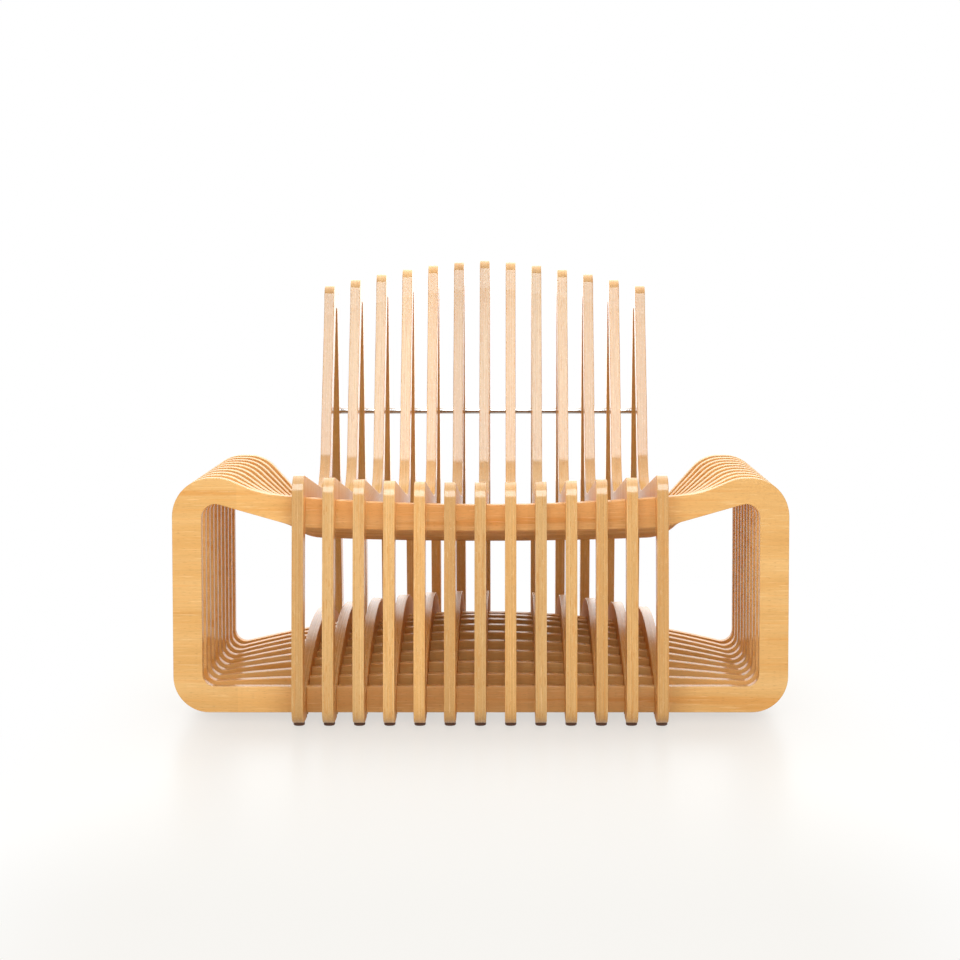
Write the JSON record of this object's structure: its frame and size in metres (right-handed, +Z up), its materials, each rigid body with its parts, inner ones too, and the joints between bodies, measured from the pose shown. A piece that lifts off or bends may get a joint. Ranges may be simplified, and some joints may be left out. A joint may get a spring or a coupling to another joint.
{
  "type": "lounge chair",
  "caption": "Open lattice lounge chair: plywood ribs set on edge cross plywood rings, with a dished seat, reclined back, humped arms and a steel tie rod.",
  "frame": {"origin": "on the floor under the middle of the chair's box", "axes": "+X from the chair's left side to its right as seen from in front, the front faces -Y, +Z up"},
  "size_m": [0.987, 0.885, 0.738],
  "materials": {
    "birch_plywood": "satin clear lacquer",
    "polished_steel": "polished",
    "glide_plastic": "matt",
    "beech": "bare"
  },
  "bodies": {
    "root": {"rib_01_frame": "birch_plywood", "rib_02_frame": "birch_plywood", "rib_03_frame": "birch_plywood", "rib_04_frame": "birch_plywood", "rib_05_frame": "birch_plywood", "rib_06_frame": "birch_plywood", "rib_07_frame": "birch_plywood", "rib_08_frame": "birch_plywood", "rib_09_frame": "birch_plywood", "rib_10_frame": "birch_plywood", "rib_11_frame": "birch_plywood", "rib_12_frame": "birch_plywood", "rib_13_frame": "birch_plywood", "rib_01_base": "birch_plywood", "rib_02_base": "birch_plywood", "rib_03_base": "birch_plywood", "rib_04_base": "birch_plywood", "rib_05_base": "birch_plywood", "rib_06_base": "birch_plywood", "rib_07_base": "birch_plywood", "rib_08_base": "birch_plywood", "rib_09_base": "birch_plywood", "rib_10_base": "birch_plywood", "rib_11_base": "birch_plywood", "rib_12_base": "birch_plywood", "rib_13_base": "birch_plywood", "ring_01": "birch_plywood", "ring_02": "birch_plywood", "ring_03": "birch_plywood", "ring_04": "birch_plywood", "ring_05": "birch_plywood", "ring_06": "birch_plywood", "ring_07": "birch_plywood", "ring_08": "birch_plywood", "ring_09": "birch_plywood", "ring_10": "birch_plywood", "tie_rod": "polished_steel", "rod_washers": "polished_steel", "rod_end_caps": "polished_steel", "front_glides": "glide_plastic", "rear_glides": "glide_plastic", "leg_dowels": "beech"}
  },
  "joints": []
}
